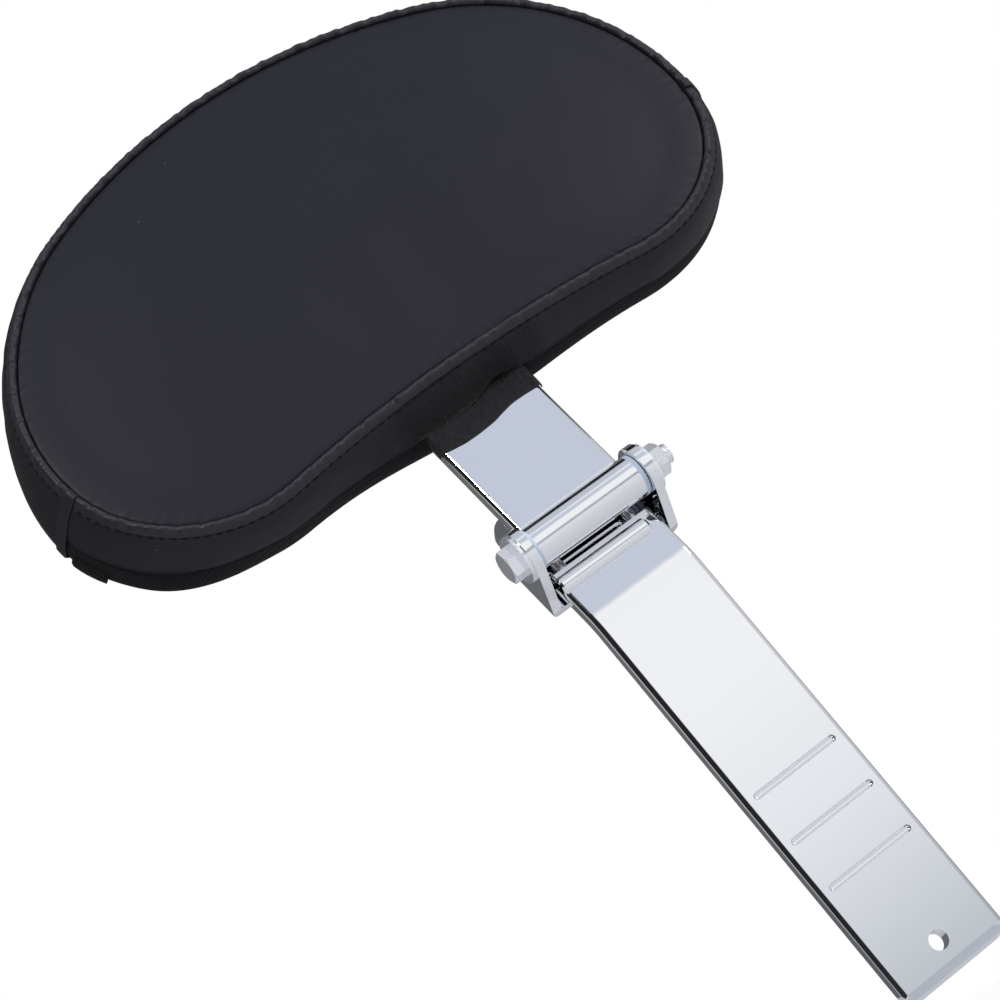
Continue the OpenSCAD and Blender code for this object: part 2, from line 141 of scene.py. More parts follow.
class Nodes:
    """A node tree under construction."""

    def __init__(self, tree: bpy.types.NodeTree) -> None:
        """Empties the tree and keeps it."""
        self.tree = tree
        tree.nodes.clear()

    def node(self, kind: str, settings: dict | None = None, values: dict | list | None = None,
             out: str | int = 0) -> Value:
        """Adds any node.

        Args:
            kind: The node's type.
            settings: Its own properties; "stops" holds the stops of a colour ramp.
            values: Its inputs by name or number or in order, as links, numbers or colours.
            out: The output that is returned.

        Returns:
            The chosen output.
        """
        made = self.tree.nodes.new(kind)
        for key, value in (settings or {}).items():
            if key == "stops":
                self._ramp(made.color_ramp, value)
            else:
                setattr(made, key, value)
        pairs = values.items() if isinstance(values, dict) else enumerate(values or [])
        for key, value in pairs:
            socket = made.inputs[key]
            if isinstance(value, Value):
                self.tree.links.new(value.socket, socket)
            else:
                socket.default_value = value
        return Value(self, made.outputs[out] if made.outputs else None)

    @staticmethod
    def _ramp(ramp: bpy.types.ColorRamp, stops: Sequence[tuple[float, tuple]]) -> None:
        """Sets a colour ramp's stops.

        Args:
            ramp: The ramp.
            stops: Position and colour of each stop, in order.
        """
        while len(ramp.elements) > 1:
            ramp.elements.remove(ramp.elements[-1])
        ramp.elements[0].position, ramp.elements[0].color = stops[0][0], rgb(*stops[0][1])
        for place, colour in stops[1:]:
            ramp.elements.new(place).color = rgb(*colour)

    def outputs(self, one: Value) -> list[Value]:
        """All outputs of the node that one of them belongs to."""
        return [Value(self, socket) for socket in one.socket.node.outputs]

    def parts(self, vector: Value) -> list[Value]:
        """The X, Y and Z of a vector."""
        return self.outputs(self.node("ShaderNodeSeparateXYZ", {}, [vector]))

    def scaled(self, at: Value, by: tuple[float, float, float]) -> Value:
        """Coordinates stretched along each axis."""
        return self.node("ShaderNodeVectorMath", {"operation": "MULTIPLY"}, [at, by])

    def noise(self, at: Value, scale: float, detail: float = 2.0, rough: float = 0.5) -> Value:
        """Noise of a scale per metre, from 0 to 1."""
        return self.node("ShaderNodeTexNoise", {}, {"Vector": at, "Scale": scale, "Detail": detail,
                                                    "Roughness": rough})

    def mix(self, share: Value | float, first: Value | tuple, second: Value | tuple) -> Value:
        """Mixes two colours."""
        return self.node("ShaderNodeMix", {"data_type": "RGBA"}, {0: share, 6: first, 7: second}, 2)

    def bump(self, strength: float, distance: float, height: Value,
             under: Value | None = None) -> Value:
        """Turns a height into a normal.

        Args:
            strength: Its strength, from 0 to 1.
            distance: How high it stands, in metres.
            height: The height.
            under: The normal that it is laid on.

        Returns:
            The normal.
        """
        values = {"Strength": strength, "Distance": distance, "Height": height}
        if under is not None:
            values["Normal"] = under
        return self.node("ShaderNodeBump", {}, values)


def rgb(red: float, green: float, blue: float) -> tuple[float, float, float, float]:
    """A linear colour with its alpha."""
    return (red, green, blue, 1.0)


class Finish:
    """Base of the finishes: one Principled shader under an output."""

    name: str
    colour: tuple
    worn: tuple

    def material(self) -> bpy.types.Material:
        """Builds the finish's material when it is first asked for.

        Returns:
            The material.
        """
        made = bpy.data.materials.get(self.name)
        if made is None:
            made = bpy.data.materials.new(self.name)
            made.use_nodes = True
            tree = Nodes(made.node_tree)
            at = tree.node("ShaderNodeTexCoord", out="Object")
            shader = tree.node("ShaderNodeBsdfPrincipled", {}, self.inputs(tree, at))
            tree.node("ShaderNodeOutputMaterial", {}, {"Surface": shader})
        return made

    def tone(self, tree: Nodes, share: Value) -> Value:
        """The colour, turned to the worn one by a share."""
        return tree.mix(share, rgb(*self.colour), rgb(*self.worn))

    def inputs(self, tree: Nodes, at: Value) -> dict:
        """The Principled shader's inputs, from the place on the piece."""
        raise NotImplementedError


@dataclass(frozen=True)
class Chrome(Finish):
    """Bright polished chrome plate with faint polishing haze."""

    name: str = "polished_chrome"
    colour: tuple = (0.86, 0.87, 0.89)
    roughness: float = 0.035
    haze: float = 0.03
    ripple: float = 0.02

    def inputs(self, tree: Nodes, at: Value) -> dict:
        """Mirror metal whose gloss varies a little."""
        return {"Base Color": rgb(*self.colour), "Metallic": 1.0,
                "Roughness": self.roughness + self.haze * tree.noise(at, 35, 3),
                "Normal": tree.bump(self.ripple, 0.0004, tree.noise(at, 90, 1))}


@dataclass(frozen=True)
class Plated(Finish):
    """Zinc-bright fastener plating, slightly worn and brushed."""

    name: str = "bright_plating"
    colour: tuple = (0.94, 0.95, 0.97)
    worn: tuple = (0.82, 0.84, 0.88)
    roughness: float = 0.06
    metal: float = 0.7

    def inputs(self, tree: Nodes, at: Value) -> dict:
        """Bright metal with fine turning marks.

        Args:
            tree: The material's tree.
            at: The place on the piece.

        Returns:
            The Principled shader's inputs.
        """
        cloud = tree.noise(at, 260, 4, 0.6)
        marks = tree.noise(tree.scaled(at, (1.0, 1.0, 9.0)), 900, 2)
        return {"Base Color": self.tone(tree, cloud), "Metallic": self.metal,
                "Roughness": self.roughness + 0.12 * cloud, "Normal": tree.bump(0.05, 0.0002, marks)}


@dataclass(frozen=True)
class Nylon(Finish):
    """Pale bluish nylon of the bushes."""

    name: str = "pale_nylon"
    colour: tuple = (0.5, 0.6, 0.74)
    worn: tuple = (0.62, 0.7, 0.82)

    def inputs(self, tree: Nodes, at: Value) -> dict:
        """Smooth moulded plastic with a soft mottling."""
        cloud = tree.noise(at, 420, 3)
        return {"Base Color": self.tone(tree, cloud), "Roughness": 0.3 + 0.12 * cloud,
                "Normal": tree.bump(0.08, 0.0002, cloud)}


@dataclass(frozen=True)
class Vinyl(Finish):
    """Black seat vinyl with fine grain, gathers along its seams and creases at the blade."""

    name: str = "black_vinyl"
    colour: tuple = (0.0105, 0.0105, 0.0165)
    worn: tuple = (0.0135, 0.0135, 0.0205)
    dust: tuple = (0.25, 0.25, 0.27)
    roughness: float = 0.46
    shine: float = 0.2
    grain: float = 0.1
    gather: float = 0.0
    gather_from: float = 0.0
    wrinkle: float = 0.0

    def gathers(self, tree: Nodes) -> Value:
        """Streaks across the seam, by the lay of the cloth, that fade away from it.

        Args:
            tree: The material's tree.

        Returns:
            Their height.
        """
        lay = tree.node("ShaderNodeUVMap", {"uv_map": "lay"})
        streaks = tree.noise(tree.scaled(lay, (1.0, 0.22, 1.0)), 330, 3, 0.6)
        return streaks * (1 - tree.parts(lay)[1].step(self.gather_from, self.gather_from + 0.007))

    def creases(self, tree: Nodes, at: Value) -> Value:
        """Creases that run up the pad, only over the blade and below the pad's middle.

        Args:
            tree: The material's tree.
            at: The place on the piece.

        Returns:
            Their height.
        """
        x, _, z = tree.parts(at)
        slot = (1 - (x * x).step(0.0007, 0.002)) * (1 - z.step(0.3, 0.33))
        return tree.noise(tree.scaled(at, (1.0, 0.5, 0.45)), 620, 5, 0.7) * slot

    def inputs(self, tree: Nodes, at: Value) -> dict:
        """Leather grain from cells and noise, under gathers and creases, with specks of dust.

        Args:
            tree: The material's tree.
            at: The place on the piece.

        Returns:
            The Principled shader's inputs.
        """
        cells = tree.node("ShaderNodeTexVoronoi", {"feature": "SMOOTH_F1"},
                          {"Vector": at, "Scale": 1150.0, "Smoothness": 0.6})
        soft = tree.noise(at, 22, 3)
        relief = tree.bump(self.grain, 0.0003, cells * 0.7 + tree.noise(at, 2600, 2) * 0.3)
        if self.gather > 0:
            relief = tree.bump(self.gather, 0.0009, self.gathers(tree), relief)
        if self.wrinkle > 0:
            relief = tree.bump(self.wrinkle, 0.003, self.creases(tree, at), relief)
        specks = tree.node("ShaderNodeTexVoronoi", {"feature": "F1"}, {"Vector": at, "Scale": 46.0})
        dusty = (1 - specks.step(0.012, 0.02)) * 0.3
        return {"Base Color": tree.mix(dusty, self.tone(tree, soft), rgb(*self.dust)),
                "Roughness": self.roughness + 0.1 * (soft - 0.5) + 0.06 * cells,
                "Specular IOR Level": self.shine, "Normal": relief}


@dataclass(frozen=True)
class Textile(Finish):
    """Black woven band with a fuzzy plain weave."""

    name: str = "black_webbing"
    colour: tuple = (0.003, 0.003, 0.0035)
    worn: tuple = (0.014, 0.014, 0.016)
    weave: float = 300.0

    def inputs(self, tree: Nodes, at: Value) -> dict:
        """Warp and weft as two crossed waves, broken up by noise.

        Args:
            tree: The material's tree.
            at: The place on the piece.

        Returns:
            The Principled shader's inputs.
        """
        warp, weft = (tree.node("ShaderNodeTexWave", {"bands_direction": way},
                                {"Vector": at, "Scale": self.weave, "Distortion": 1.2,
                                 "Detail Scale": 3.0}, 1) for way in ("X", "Z"))
        fuzz = tree.noise(at, 3200, 3, 0.7)
        cloth = warp * weft
        return {"Base Color": self.tone(tree, (cloth + fuzz * 0.6).clamp()),
                "Roughness": 0.75 + 0.2 * fuzz, "Sheen Weight": 0.03, "Sheen Roughness": 0.5,
                "Specular IOR Level": 0.12,
                "Normal": tree.bump(0.7, 0.0005, cloth * 0.7 + fuzz * 0.5)}


@dataclass(frozen=True)
class Thread(Finish):
    """Black bonded sewing thread."""

    name: str = "black_thread"
    colour: tuple = (0.0015, 0.0015, 0.002)
    worn: tuple = (0.005, 0.005, 0.006)

    def inputs(self, tree: Nodes, at: Value) -> dict:
        """Twisted thread with a dull shine."""
        twist = tree.noise(at, 2500, 2)
        return {"Base Color": self.tone(tree, twist), "Roughness": 0.6 + 0.2 * twist,
                "Specular IOR Level": 0.15, "Normal": tree.bump(0.4, 0.0002, twist)}


@dataclass(frozen=True)
class Plywood(Finish):
    """Plywood of the backing board, coloured near black as painted shade, so that the gap under the
    lifted boxing reads dark where the board shows.
    """

    name: str = "plywood_painted_shade"
    # Near-black colour and grain tone: painted shade for the gap under the lifted boxing, where the
    # board shows.
    colour: tuple = (0.006, 0.005, 0.005)
    worn: tuple = (0.02, 0.017, 0.015)

    def inputs(self, tree: Nodes, at: Value) -> dict:
        """Long grain that shows faintly through the near-black painted shade."""
        grain = tree.noise(tree.scaled(at, (0.08, 1.0, 1.0)), 240, 4, 0.6)
        return {"Base Color": self.tone(tree, grain), "Roughness": 0.55 + 0.15 * grain,
                "Normal": tree.bump(0.2, 0.0002, grain)}


def put(name: str, data: bpy.types.ID) -> bpy.types.Object:
    """Adds an object to the scene, at the origin.

    Args:
        name: The object's name.
        data: Its mesh, camera or lamp.

    Returns:
        The object.
    """
    made = bpy.data.objects.new(name, data)
    bpy.context.scene.collection.objects.link(made)
    return made


def make_plain(piece: bpy.types.Object) -> None:
    """Turns what a piece's modifiers make of it into its own mesh, and removes them.

    Args:
        piece: The piece.
    """
    live = piece.evaluated_get(bpy.context.evaluated_depsgraph_get())
    mesh = bpy.data.meshes.new_from_object(live)
    piece.modifiers.clear()
    piece.data = mesh


def add_mesh(name: str, points: np.ndarray, faces: list, finish: Finish,
             lay: np.ndarray | None = None) -> bpy.types.Object:
    """Makes a smooth-shaded mesh object at the origin.

    Args:
        name: The object's name.
        points: Its vertices in metres, in the row's frame.
        faces: Its faces as lists of vertex numbers.
        finish: Its finish.
        lay: A place on the cloth for each corner of each face, in metres.

    Returns:
        The object.
    """
    mesh = bpy.data.meshes.new(name)
    mesh.from_pydata([tuple(p) for p in points], [], faces)
    if lay is not None:
        mesh.uv_layers.new(name="lay").data.foreach_set("uv", np.asarray(lay, float).ravel())
    shape = bmesh.new()
    shape.from_mesh(mesh)
    if shape.calc_volume(signed=True) < 0:
        bmesh.ops.reverse_faces(shape, faces=shape.faces)
        shape.to_mesh(mesh)
    shape.free()
    mesh.polygons.foreach_set("use_smooth", [True] * len(mesh.polygons))
    mesh.materials.append(finish.material())
    mesh.update()
    return put(name, mesh)


@dataclass
class Studio:
    """Camera, floor, lamps and surroundings."""

    azimuth: float = -18.57
    elevation: float = -12.29
    roll: float = -39.52
    distance: float = 1.1598
    aim: tuple = (-0.02164, 0.0, 0.23506)
    lens: float = 107.593
    floor_z: float = -0.16
    floor_half: float = 12.0
    floor_tone: tuple = (0.85, 0.85, 0.86)
    floor_white: float = 0.97
    lamp_aim: tuple = (0.0, 0.0, 0.2)
    walls: tuple = (
        (0.0, (0.62, 0.62, 0.64)), (0.3, (0.8, 0.8, 0.82)), (0.46, (0.5, 0.52, 0.56)),
        (0.5, (0.58, 0.61, 0.65)), (0.53, (0.86, 0.88, 0.91)), (0.56, (1.0, 1.0, 1.0)),
        (0.66, (0.97, 0.98, 1.0)), (0.745, (1.0, 1.0, 1.0)), (0.765, (0.62, 0.66, 0.76)),
        (0.86, (0.61, 0.65, 0.76)), (0.885, (0.95, 0.95, 0.97)), (0.9, (0.95, 0.95, 0.97)),
        (0.915, (0.6, 0.63, 0.72)), (1.0, (0.55, 0.57, 0.63)))
    flag_tone: tuple = (0.02, 0.02, 0.022)
    behind_tone: tuple = (0.07, 0.072, 0.08)
    behind_share: float = 0.92
    right_tone: tuple = (0.3, 0.31, 0.35)
    right_share: float = 0.5

    def camera(self) -> None:
        """Places the camera at the photograph's viewpoint."""
        a, e, r = (math.radians(v) for v in (self.azimuth, self.elevation, self.roll))
        back = Vector((math.sin(a) * math.cos(e), -math.cos(a) * math.cos(e), math.sin(e)))
        right = (-back).cross(Vector((0, 0, 1))).normalized()
        up = right.cross(-back)
        across = right * math.cos(r) + up * math.sin(r)
        rise = up * math.cos(r) - right * math.sin(r)
        data = bpy.data.cameras.new("photo_camera")
        data.lens, data.sensor_width = self.lens, 36.0
        data.clip_start, data.clip_end = 0.05, 60.0
        made = put("photo_camera", data)
        turn = Matrix((across, rise, back)).transposed().to_4x4()
        made.matrix_world = Matrix.Translation(Vector(self.aim) + back * self.distance) @ turn
        bpy.context.scene.camera = made

    def floor(self) -> None:
        """Lays a plain pale floor under the part, nearly white to the camera."""
        mesh = bpy.data.meshes.new("floor")
        corners = ((-1, -1), (1, -1), (1, 1), (-1, 1))
        mesh.from_pydata([(x * self.floor_half, y * self.floor_half, self.floor_z)
                          for x, y in corners], [], [(0, 1, 2, 3)])
        paint = bpy.data.materials.new("floor_paint")
        paint.use_nodes = True
        tree = Nodes(paint.node_tree)
        shader = tree.node("ShaderNodeBsdfPrincipled", {}, {"Base Color": rgb(*self.floor_tone),
                                                            "Roughness": 0.8})
        glow = tree.node("ShaderNodeEmission", {}, {"Color": rgb(1, 1, 1), "Strength": 1.0})
        seen = tree.node("ShaderNodeLightPath", out="Is Camera Ray")
        whole = tree.node("ShaderNodeMixShader", {}, [seen * self.floor_white, shader, glow])
        tree.node("ShaderNodeOutputMaterial", {}, {"Surface": whole})
        mesh.materials.append(paint)
        put("floor", mesh)

    def lamp(self, name: str, at: tuple, size: float, power: float) -> None:
        """Adds a soft square lamp that faces the part.

        Args:
            name: The lamp's name.
            at: Its place.
            size: Its side.
            power: Its power in watts.
        """
        data = bpy.data.lights.new(name, "AREA")
        data.shape, data.size, data.energy = "SQUARE", size, power
        made = put(name, data)
        made.location = at
        way = Vector(at) - Vector(self.lamp_aim)
        made.rotation_euler = way.to_track_quat("Z", "Y").to_euler()

    def surroundings(self) -> None:
        """Builds the pale studio that the chrome mirrors, white to the camera."""
        world = bpy.data.worlds.new("studio")
        bpy.context.scene.world = world
        world.use_nodes = True
        tree = Nodes(world.node_tree)
        x, y, z = tree.parts(tree.node("ShaderNodeTexCoord", out="Generated"))
        walls = tree.node("ShaderNodeValToRGB", {"stops": self.walls}, [z * 0.5 + 0.5])
        flag = ((1 - x.step(-0.3, -0.02)) * (1 - y.step(0.0, 0.4))
                * (z.step(-0.5, -0.1) * (1 - z.step(0.75, 0.95))))
        tone = tree.mix(flag, walls, rgb(*self.flag_tone))
        tone = tree.mix(y.step(0.1, 0.6) * self.behind_share, tone, rgb(*self.behind_tone))
        tone = tree.mix(x.step(0.55, 0.8) * self.right_share, tone, rgb(*self.right_tone))
        seen = tree.node("ShaderNodeLightPath", out="Is Camera Ray")
        light = tree.node("ShaderNodeBackground", {}, {"Color": tree.mix(seen, tone, rgb(1, 1, 1)),
                                                       "Strength": 1.0})
        tree.node("ShaderNodeOutputWorld", {}, {"Surface": light})

    def build(self) -> None:
        """Sets the whole studio."""
        self.camera()
        self.floor()
        self.lamp("key", (-1.2, -2.2, 2.4), 0.4, 45.0)
        self.lamp("fill", (1.8, -1.4, 1.2), 0.3, 14.0)
        self.surroundings()
        bpy.context.scene.view_settings.view_transform = "Standard"
        LOG.info("studio set")


@dataclass
class Hinge:
    """Where the leaning part of the backrest lies, in millimetres, as the CAD model has it."""

    bend_z: float = 172.4
    lean: float = 14.0
    rise: float = 36.7
    ahead: float = 12.1
    blade_back: float = 1.9

    def place(self, x: np.ndarray, s: np.ndarray, f: np.ndarray) -> np.ndarray:
        """Puts points of the leaning frame into the row's frame.

        Args:
            x: Across.
            s: Up the blade from the hinge axis.
            f: Ahead of the blade's mid-thickness.

        Returns:
            The points in metres.
        """
        a = math.radians(self.lean)
        y0 = self.rise * math.sin(a) - self.ahead * math.cos(a)
        z0 = self.bend_z + self.rise * math.cos(a) + self.ahead * math.sin(a)
        y = self.blade_back - f
        return np.stack([x, y0 + y * math.cos(a) + s * math.sin(a),
                         z0 - y * math.sin(a) + s * math.cos(a)], axis=-1) * MM


@dataclass
class PadForm:
    """Outline and section of the pad, in millimetres, as the CAD model has them."""

    pad_w: float = 309.6
    low: float = 80.2
    high: float = 248.7
    shift: float = 4.0
    lobe_r: float = 59.5
    lobe_dip: float = 6.6
    shoulder_share: float = 0.72
    shoulder_a: float = -6.0
    seam: float = 22.0
    crown: float = 8.0
    out: float = 8.6
    border: float = 4.5
    back: float = -7.0
    count: int = 1000
    slim: float = 3.8
    slim_at: float = 45.0
    slim_below: float = 28.0
    slim_above: float = 40.0
    hinge: Hinge = field(default_factory=Hinge)

    def arcs(self) -> list[tuple[float, float, float, float, float, float]]:
        """The arcs of the seam's right half, from the bottom up.

        Returns:
            Each arc's centre, radius and end angles, and 1 if it bulges out or -1 if in.
        """
        lobe_up = self.lobe_r - self.lobe_dip
        lobe_x, lobe_z = self.pad_w / 2 - self.lobe_r, self.low + lobe_up
        shoulder_r = self.lobe_r + self.shoulder_share * (self.high - lobe_z - self.lobe_r)
        low_r = (lobe_x ** 2 + lobe_up ** 2 - self.lobe_r ** 2) / (2 * self.lobe_dip)
        low_a = math.degrees(math.atan2(lobe_up + low_r, lobe_x))
        sa = math.radians(self.shoulder_a)
        sx = lobe_x - (shoulder_r - self.lobe_r) * math.cos(sa)
        sz = lobe_z - (shoulder_r - self.lobe_r) * math.sin(sa)
        rise = self.high - sz
        top_r = (sx ** 2 + rise ** 2 - shoulder_r ** 2) / (2 * (rise - shoulder_r))
        top_z = self.high - top_r
        top_a = math.degrees(math.atan2(sz - top_z, sx))
        return [(0.0, self.low - low_r, low_r, 90.0, low_a, -1.0),
                (lobe_x, lobe_z, self.lobe_r, low_a - 180, self.shoulder_a, 1.0),
                (sx, sz, shoulder_r, self.shoulder_a, top_a, 1.0),
                (0.0, top_z, top_r, top_a, 90.0, 1.0)]

    def __post_init__(self) -> None:
        """Samples the seam's outline evenly, with its outward normals, and slims its left side."""
        points, normals = [], []
        for cx, cz, r, start, end, way in self.arcs():
            a = np.radians(np.linspace(start, end, 400, endpoint=False))
            turn = np.stack([np.cos(a), np.sin(a)], axis=1)
            points.append(np.array([cx, cz]) + r * turn)
            normals.append(way * turn)
        whole = []
        for half, top in ((points, self.high), (normals, 1.0)):
            right = np.concatenate([*half, [[0.0, top]]])
            left = right[-2:0:-1] * np.array([-1.0, 1.0])
            whole.append(np.concatenate([right, left, right[:1]]))
        steps = np.linalg.norm(np.diff(whole[0], axis=0), axis=1)
        along = np.concatenate([[0.0], np.cumsum(steps)])
        self.length = along[-1]
        self.along = np.arange(self.count) * self.length / self.count
        line, normal = (np.stack([np.interp(self.along, along, w[:, i]) for i in (0, 1)], axis=1)
                        for w in whole)
        self.normal = normal / np.linalg.norm(normal, axis=1, keepdims=True)
        self.middle = (self.low + self.high) / 2
        rise = np.degrees(np.arctan2(self.normal[:, 1], -self.normal[:, 0]))
        spread = np.where(rise < self.slim_at, self.slim_below, self.slim_above)
        drawn = -self.slim * np.exp(-((rise - self.slim_at) / spread) ** 2)
        self.seam_line = line + self.normal * drawn[:, None]

    def ring(self, e: float | np.ndarray, f: float | np.ndarray, k: float = 1.0) -> np.ndarray:
        """One ring round the pad.

        Args:
            e: Distance outside the seam line, one value or one for each sample.
            f: Height ahead of the blade's mid-thickness, likewise.
            k: Share of the way out from the middle of the pad.

        Returns:
            The ring's points in metres.
        """
        e = np.broadcast_to(np.asarray(e, float), (self.count,))
        f = np.broadcast_to(np.asarray(f, float), (self.count,))
        p = self.seam_line + self.normal * e[:, None]
        x, s = k * p[:, 0], self.middle + k * (p[:, 1] - self.middle)
        return self.hinge.place(x + self.shift, s, f)

    def over_blade(self, width: float, power: float = 1.0) -> np.ndarray:
        """A hump along the lower edge where it crosses the blade, from 0 to 1."""
        x = (self.seam_line[:, 0] + self.shift) / width
        return np.where(self.seam_line[:, 1] < self.middle, np.clip(1 - x ** 2, 0, 1) ** power, 0.0)

    def swell(self, k: float) -> float:
        """Height of the crowned front over the seam at a share k of the way out."""
        return self.crown * (1 - k ** 2.6)

    def wander(self, waves: Sequence[tuple[float, float, float]]) -> np.ndarray:
        """A smooth uneven line round the pad.

        Args:
            waves: Number of waves round the pad, their height and their phase.

        Returns:
            One value for each sample.
        """
        turn = 2 * math.pi * self.along / self.length
        return sum(h * np.sin(n * turn + p + 1.7 * np.sin(3 * turn + p)) for n, h, p in waves)

    def skin(self, rings: list[np.ndarray], name: str, finish: Finish, start: float = 0.0,
             closed: bool = False) -> bpy.types.Object:
        """Covers a stack of rings with quads, closed to a section or by a pole at each end.

        Args:
            rings: Rings of the same length, from one edge of the cloth to the other.
            name: The piece's name.
            finish: Its finish.
            start: Distance of the first ring from the seam, for the lay of the cloth.
            closed: Whether the last ring joins the first; otherwise both ends get a pole.

        Returns:
            The piece.
        """
        n, m = len(rings[0]), len(rings)
        across = [start]
        for one, two in zip(rings, rings[1:] + rings[:1]):
            across.append(across[-1] + float(np.mean(np.linalg.norm(two - one, axis=1))))
        ends = np.concatenate([self.along, [self.length]]) * MM
        points = np.concatenate(rings)
        faces, lay = [], []
        for j in range(m if closed else m - 1):
            l = (j + 1) % m
            for i in range(n):
                k = (i + 1) % n
                faces.append((j * n + i, j * n + k, l * n + k, l * n + i))
                lay += [(ends[i], across[j]), (ends[i + 1], across[j]),
                        (ends[i + 1], across[j + 1]), (ends[i], across[j + 1])]
        if not closed:
            poles = np.array([rings[0].mean(axis=0), rings[-1].mean(axis=0)])
            points = np.concatenate([points, poles])
            first, last = across[0], across[m - 1]
            for i in range(n):
                k = (i + 1) % n
                faces.append((m * n, k, i))
                faces.append((m * n + 1, (m - 1) * n + i, (m - 1) * n + k))
                lay += [(ends[i], first), (ends[i + 1], first), (ends[i], first),
                        (ends[i], last), (ends[i], last), (ends[i + 1], last)]
        return add_mesh(name, points, faces, finish, np.array(lay))


def smooth(value: np.ndarray, low: float, high: float) -> np.ndarray:
    """A smooth rise from 0 at low to 1 at high."""
    t = np.clip((value - low) / (high - low), 0, 1)
    return t * t * (3 - 2 * t)


def hump(x: np.ndarray, middle: float, width: float) -> np.ndarray:
    """A bell curve, 1 at its middle."""
    return np.exp(-((x - middle) / width) ** 2)


def strip(rings: list[np.ndarray], first: int, last: int, name: str,
          finish: Finish) -> bpy.types.Object:
    """Makes a patch of a band between two samples of its rings.

    Args:
        rings: The section's rings in order round the section.
        first: The first sample.
        last: The last sample.
        name: The piece's name.
        finish: Its finish.

    Returns:
        The piece.
    """
    n, m = len(rings[0]), len(rings)
    rows = last - first
    points = np.array([r[i % n] for i in range(first, last + 1) for r in rings])
    faces = [tuple(range(m)), tuple(reversed([rows * m + j for j in range(m)]))]
    for i in range(rows):
        for j in range(m):
            k = (j + 1) % m
            faces.append((i * m + j, (i + 1) * m + j, (i + 1) * m + k, i * m + k))
    made = add_mesh(name, points, faces, finish)
    shape = bmesh.new()
    shape.from_mesh(made.data)
    bmesh.ops.recalc_face_normals(shape, faces=shape.faces)
    shape.to_mesh(made.data)
    shape.free()
    return made


def lookup(points: np.ndarray) -> KDTree:
    """A tree that finds the nearest of some points.

    Args:
        points: The points, one in a row.

    Returns:
        The tree.
    """
    made = KDTree(len(points))
    for i, p in enumerate(points):
        made.insert(p, i)
    made.balance()
    return made


@dataclass
class Stuffing:
    """Lets the cover swell over its foam with the cloth solver, held at the seam and the back."""

    voxel: float = 0.005
    pressure: float = 4.0
    frames: int = 20
    cap: float = 0.0035
    hold: float = 0.006
    samples: int = 140
    reach: float = 0.002
    moved: np.ndarray | None = field(default=None, init=False)

    def settle(self) -> None:
        """Runs the cloth and keeps where each place of the cover went."""
        f = PadForm(count=self.samples)
        rings = [f.ring(0, f.seam + f.swell(k) - 1.5, k) for k in (0.1, 0.3, 0.5, 0.7, 0.85, 0.95)]
        rings += [f.ring(0, f.seam - 1.0), f.ring(4.5, f.seam - 2.5), f.ring(7.5, f.seam - 9.0),
                  f.ring(8.0, f.border), f.ring(7.0, f.back)]
        rings += [f.ring(0, f.back, k) for k in (0.8, 0.5, 0.2)]
        bag = f.skin(rings, "bag", Vinyl())
        even = bag.modifiers.new("even", "REMESH")
        even.mode, even.voxel_size = "VOXEL", self.voxel
        make_plain(bag)
        before = self.places(bag.data)
        seam = lookup(np.concatenate([f.ring(0, f.seam - 1.0), f.ring(0, f.back)]))
        held = [i for i, p in enumerate(before) if seam.find(p)[2] < self.hold]
        bag.vertex_groups.new(name="held").add(held, 1.0, "REPLACE")
        cloth = bag.modifiers.new("cover", "CLOTH")
        cloth.settings.use_pressure = True
        cloth.settings.uniform_pressure_force = self.pressure
        cloth.settings.vertex_group_mass = "held"
        cloth.settings.effector_weights.gravity = 0.0
        cloth.point_cache.frame_start, cloth.point_cache.frame_end = 1, self.frames
        scene = bpy.context.scene
        for number in range(1, self.frames + 1):
            scene.frame_set(number)
        live = bag.evaluated_get(bpy.context.evaluated_depsgraph_get())
        moved = self.places(live.data) - before
        size = np.linalg.norm(moved, axis=1, keepdims=True)
        self.moved = moved * np.minimum(1.0, self.cap / np.maximum(size, 1e-9))
        self.tree = lookup(before)
        bag.modifiers.clear()
        bpy.data.objects.remove(bag)
        scene.frame_set(1)
        LOG.info("cover settled, farthest move %.1f mm", float(size.max()) / MM)

    @staticmethod
    def places(mesh: bpy.types.Mesh) -> np.ndarray:
        """A mesh's vertices as an array.

        Args:
            mesh: The mesh.

        Returns:
            One row for each vertex.
        """
        out = np.empty(len(mesh.vertices) * 3)
        mesh.vertices.foreach_get("co", out)
        return out.reshape(-1, 3)

    def swollen(self, ring: np.ndarray, share: float = 1.0) -> np.ndarray:
        """A ring moved with the settled cover.

        Args:
            ring: The ring's points.
            share: How much of the move it takes.

        Returns:
            The moved points.
        """
        if self.moved is None:
            return ring
        out = ring.copy()
        for i, p in enumerate(ring):
            near = self.tree.find_n(p, 8)
            weight = np.array([1 / (d + self.reach) ** 2 for _, _, d in near])
            move = self.moved[[n for _, n, _ in near]]
            out[i] += share * (weight[:, None] * move).sum(axis=0) / weight.sum()
        return out


